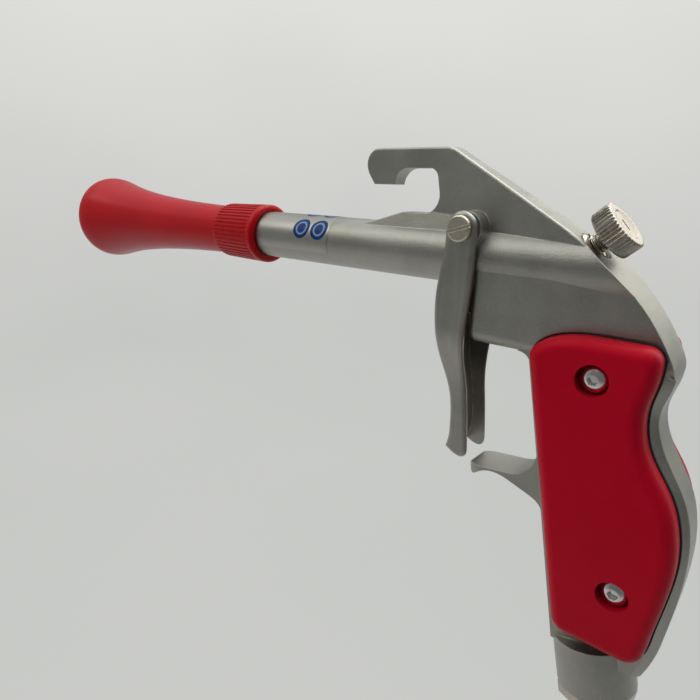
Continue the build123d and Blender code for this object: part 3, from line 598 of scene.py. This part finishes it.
def makeDiscs():
    # each disc is a polar grid laid round the barrel: reach from its middle, and angle round it
    share = np.vstack([np.linspace(0, 1, discs["rings"])[:, None], [[1.0]]])
    spin = np.linspace(0, 2 * np.pi, discs["columns"] + 1)[None, :]
    lift = np.vstack([np.full((discs["rings"], 1), discs["lift"]), [[0.0]]])
    grids = []
    for place, height in discs["places"]:
        reach = share * discs["radius"]
        x = barrelHeadX + place * mm + reach * np.cos(spin)
        radius = foil["radius"] + lift + 0 * spin
        grids.append(onBarrel(x, height + np.degrees(reach * np.sin(spin) / foil["radius"]), radius))
    piece = makePiece("blue_discs", grids, "gun_body", materials["discs"], 35.0, wrap=False)
    # the map's first value is the share of the way out from the nearest disc's middle
    uv = piece.data.uv_layers.new(name="discMap")
    corner = np.zeros(len(piece.data.loops), np.int32)
    piece.data.loops.foreach_get("vertex_index", corner)
    where = np.zeros(len(piece.data.vertices) * 3)
    piece.data.vertices.foreach_get("co", where)
    where = where.reshape(-1, 3)
    turn = np.degrees(np.arctan2(where[:, 2] - barrelAt[2], -where[:, 1]))
    away = [np.hypot(where[:, 0] - barrelHeadX - place * mm, np.radians(turn - height) * foil["radius"])
            for place, height in discs["places"]]
    reach = np.min(away, axis=0) / discs["radius"]
    uv.data.foreach_set("uv", np.stack([reach[corner], np.full(len(corner), 0.5)], -1).ravel())


# valve spring

spring = {"wire": 0.45 * mm, "coils": 5.5, "stepsPerCoil": 48, "sides": 12, "stroke": 4.0 * mm,
          "spare": 0.02}


def makeSpring():
    # round wire along a helix: the path turns evenly as it runs along X, and each ring of the wire faces
    # along the path
    low, high = (np.array(corner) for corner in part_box("valve_spring"))
    wire = spring["wire"]
    reach = (high[2] - low[2]) / 2 - wire
    run = high[0] - low[0] - 2 * wire
    steps = int(spring["coils"] * spring["stepsPerCoil"]) + 1
    turn = np.linspace(0, 2 * np.pi * spring["coils"], steps)[:, None]
    outward = np.hstack([0 * turn, np.cos(turn), np.sin(turn)])
    path = np.hstack([low[0] + wire + run * turn / turn[-1], 0 * turn + (low[1] + high[1]) / 2,
                      0 * turn + (low[2] + high[2]) / 2]) + reach * outward
    ahead = np.hstack([0 * turn + run / turn[-1], -reach * np.sin(turn), reach * np.cos(turn)])
    ahead /= np.linalg.norm(ahead, axis=1, keepdims=True)
    across = np.cross(ahead, outward)
    spin = np.linspace(0, 2 * np.pi, spring["sides"], endpoint=False)[None, :, None]
    tube = path[:, None] + wire * (np.cos(spin) * outward[:, None] + np.sin(spin) * across[:, None])
    ends = [np.stack([np.broadcast_to(path[end], tube[end].shape), tube[end]]) for end in (0, -1)]
    piece = makePiece("valve_coil", [ends[0], tube, ends[1]], "gun_body", materials["steel"], 40.0)
    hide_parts("valve_spring")
    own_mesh(piece)


# grip screws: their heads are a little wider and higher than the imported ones

screw = {"cadHead": 3.15 * mm, "head": 3.35 * mm, "shank": 1.95 * mm, "foot": 1.0 * mm, "seat": 9.8 * mm,
         "rim": 2.3 * mm, "dome": 1.1 * mm, "crown": 1.75 * mm, "socket": 1.45 * mm,
         "socketDepth": 1.2 * mm, "columns": 72, "domeSteps": 12}


def makeScrews():
    # turned shank and domed head: the dome drops with the square of the radius, round a hexagon socket
    low, high = (np.array(corner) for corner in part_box("grip_screws"))
    inset = screw["cadHead"]
    angle = np.linspace(0, 2 * np.pi, screw["columns"], endpoint=False)[None, :]
    rimTop = screw["seat"] + screw["rim"]
    side = np.array([(screw["foot"], 0.0), (screw["foot"], screw["shank"]), (screw["seat"], screw["shank"]),
                     (screw["seat"], screw["head"]), (rimTop, screw["head"])])
    domeRadius = np.linspace(screw["head"], screw["crown"], screw["domeSteps"])[:, None]
    top = rimTop + screw["dome"]
    dome = np.hstack([top - screw["dome"] * (domeRadius / screw["head"]) ** 2, domeRadius])
    profile = np.vstack([side, dome[1:]])
    hexagon = screw["socket"] * np.cos(np.pi / 6) / np.cos(angle % (np.pi / 3) - np.pi / 6)
    mouth = dome[-1, 0]
    socketFloor = mouth - screw["socketDepth"]
    depth = np.array([[mouth], [mouth], [socketFloor], [socketFloor]]) + 0 * angle
    reach = np.vstack([0 * angle + screw["crown"], hexagon, hexagon, 0 * angle])
    grids = []
    for x, z in ((low[0] + inset, high[2] - inset), (high[0] - inset, low[2] + inset)):
        for outward in (-1.0, 1.0):
            at, axis = (x, 0.0, z), (0.0, outward, 0.0)
            grids.append(turned(profile, at, axis, screw["columns"]))
            grids.append(around(at, axis, depth, reach, angle))
    piece = makePiece("domed_screws", grids, "gun_body", materials["bright"], 32.0)
    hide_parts("grip_screws")


makeBell()
makeRing()
makeKnob()
makeSpring()
makeScrews()
makeFoil()
makeDiscs()
print("new pieces made")


# floor, light and camera

# low and high: the painted glow the camera sees on the bowl; dim and bright: its grey surround in front and
# behind
studio = {"drop": 0.30, "flat": 1.6, "curve": 1.0, "wall": 2.6, "dim": 0.22, "bright": 0.66,
          "low": (0.56, 0.57, 0.55), "high": (0.78, 0.775, 0.75), "towards": (-0.64, 0.77, 0.0),
          "rough": 0.9, "shine": 0.1}


def makeStudio():
    # a bowl: flat round floor, quarter-circle sweep, upright wall all round
    sweep = np.linspace(0, np.pi / 2, 24)[:, None]
    curve, flat = studio["curve"], studio["flat"]
    bend = np.hstack([curve * (1 - np.cos(sweep)), flat + curve * np.sin(sweep)])
    profile = np.vstack([[(0.0, 0.0)], bend, [(studio["wall"], flat + curve)]])
    points = turned(profile, (0, 0, cadLow.z - studio["drop"]), (0, 0, 1), 96)
    mesh = bpy.data.meshes.new("studioBowl")
    quads = gridQuads(points.shape[0], points.shape[1], 0, True)
    mesh.from_pydata(points.reshape(-1, 3).tolist(), [], quads.tolist())
    mesh.shade_smooth()
    # seen directly the bowl glows with a painted pale tone, lighter towards the top, not lit by the lamps;
    # as a surround it is dim in front and bright behind, darkening the reflections that face the camera
    material, tree, shader = newMaterial("paleFloor")
    where = add(tree, "TexCoord").outputs["Object"]
    height = add(tree, "SeparateXYZ", None, {0: where}).outputs["Z"]
    facing = add(tree, "VectorMath", {"operation": "DOT_PRODUCT"}, {0: where, 1: studio["towards"]})
    behind = facing.outputs["Value"]
    cloud = add(tree, "TexNoise", None, {"Vector": where, "Scale": 1.2, "Detail": 2.0}).outputs[0]
    upwards = spread(tree, height, -0.4, 1.2)
    shade = maths(tree, "ADD", upwards, spread(tree, cloud, 0.3, 0.7, -0.06, 0.06), True)
    pale = blendColour(tree, shade, studio["low"], studio["high"])
    side = spread(tree, behind, -1.2, 1.2)
    grey = blendColour(tree, side, [studio["dim"]] * 3, [studio["bright"]] * 3)
    tree.links.new(grey, shader.inputs["Base Color"])
    shader.inputs["Roughness"].default_value = studio["rough"]
    shader.inputs["Specular IOR Level"].default_value = studio["shine"]
    # painted light: camera rays see this glow, not the lamps' light on the bowl
    seen = add(tree, "Emission", None, {"Color": pale, "Strength": 1.0})
    either = add(tree, "MixShader", None, {0: add(tree, "LightPath").outputs["Is Camera Ray"]})
    tree.links.new(shader.outputs[0], either.inputs[1])
    tree.links.new(seen.outputs[0], either.inputs[2])
    tree.links.new(either.outputs[0], tree.nodes["Material Output"].inputs["Surface"])
    mesh.materials.append(material)
    bowl = bpy.data.objects.new("studioBowl", mesh)
    bpy.context.scene.collection.objects.link(bowl)


lamps = {
    "topLight": {"at": (0.05, 0.45, 1.25), "size": (1.3, 0.9), "power": 11.0, "tint": (0.98, 0.99, 1.0)},
    "backLight": {"at": (0.55, 1.15, 0.75), "size": (1.5, 0.9), "power": 5.5, "tint": (1.0, 0.98, 0.92)},
    "highFill": {"at": (-0.80, -0.62, 0.98), "size": (0.45, 0.45), "power": 2.0, "tint": (1.0, 0.98, 0.93)},
    "frontFill": {"at": (-0.75, -1.0, 0.55), "size": (0.7, 0.7), "power": 5.0, "tint": (1.0, 0.98, 0.94),
                  "mirrored": False},
}
lampsAim = (-0.06, 0.0, 0.10)
room = {"tint": (0.95, 0.97, 1.0, 1.0), "strength": 1.1}


def makeLights():
    for name, lamp in lamps.items():
        light = bpy.data.lights.new(name, "AREA")
        light.shape = "RECTANGLE"
        light.size, light.size_y = lamp["size"]
        light.energy = lamp["power"]
        light.color = lamp["tint"]
        holder = bpy.data.objects.new(name, light)
        holder.visible_glossy = lamp.get("mirrored", True)
        back = unit(np.array(lamp["at"]) - np.array(lampsAim))
        right = unit(np.cross([0.0, 0.0, 1.0], back))
        turn = np.column_stack([right, np.cross(back, right), back])
        holder.matrix_world = Matrix.Translation(lamp["at"]) @ Matrix(turn.tolist()).to_4x4()
        bpy.context.scene.collection.objects.link(holder)
    world = bpy.data.worlds.new("softRoom")
    world.use_nodes = True
    background = world.node_tree.nodes["Background"]
    background.inputs["Color"].default_value = room["tint"]
    background.inputs["Strength"].default_value = room["strength"]
    bpy.context.scene.world = world


eye = {"at": (0.0280, -0.1567, 0.1505), "azimuth": 39.88, "elevation": 16.74, "roll": 1.14, "lens": 29.1}


def makeCamera():
    # azimuth turns the view from +Y towards -X, elevation looks down, roll leans the frame
    azimuth, elevation, roll = (math.radians(eye[key]) for key in ("azimuth", "elevation", "roll"))
    ahead = np.array([-math.sin(azimuth) * math.cos(elevation), math.cos(azimuth) * math.cos(elevation),
                      -math.sin(elevation)])
    level = np.array([math.cos(azimuth), math.sin(azimuth), 0.0])
    up = np.cross(level, ahead)
    right = math.cos(roll) * level + math.sin(roll) * up
    lens = bpy.data.cameras.new("viewCamera")
    lens.lens = eye["lens"]
    lens.clip_start = 0.01
    holder = bpy.data.objects.new("viewCamera", lens)
    turn = np.column_stack([right, np.cross(right, ahead), -ahead])
    holder.matrix_world = Matrix.Translation(eye["at"]) @ Matrix(turn.tolist()).to_4x4()
    bpy.context.scene.collection.objects.link(holder)
    bpy.context.scene.camera = holder


makeStudio()
makeLights()
makeCamera()
bpy.context.scene.view_settings.view_transform = "Standard"
print("floor, light and camera set")
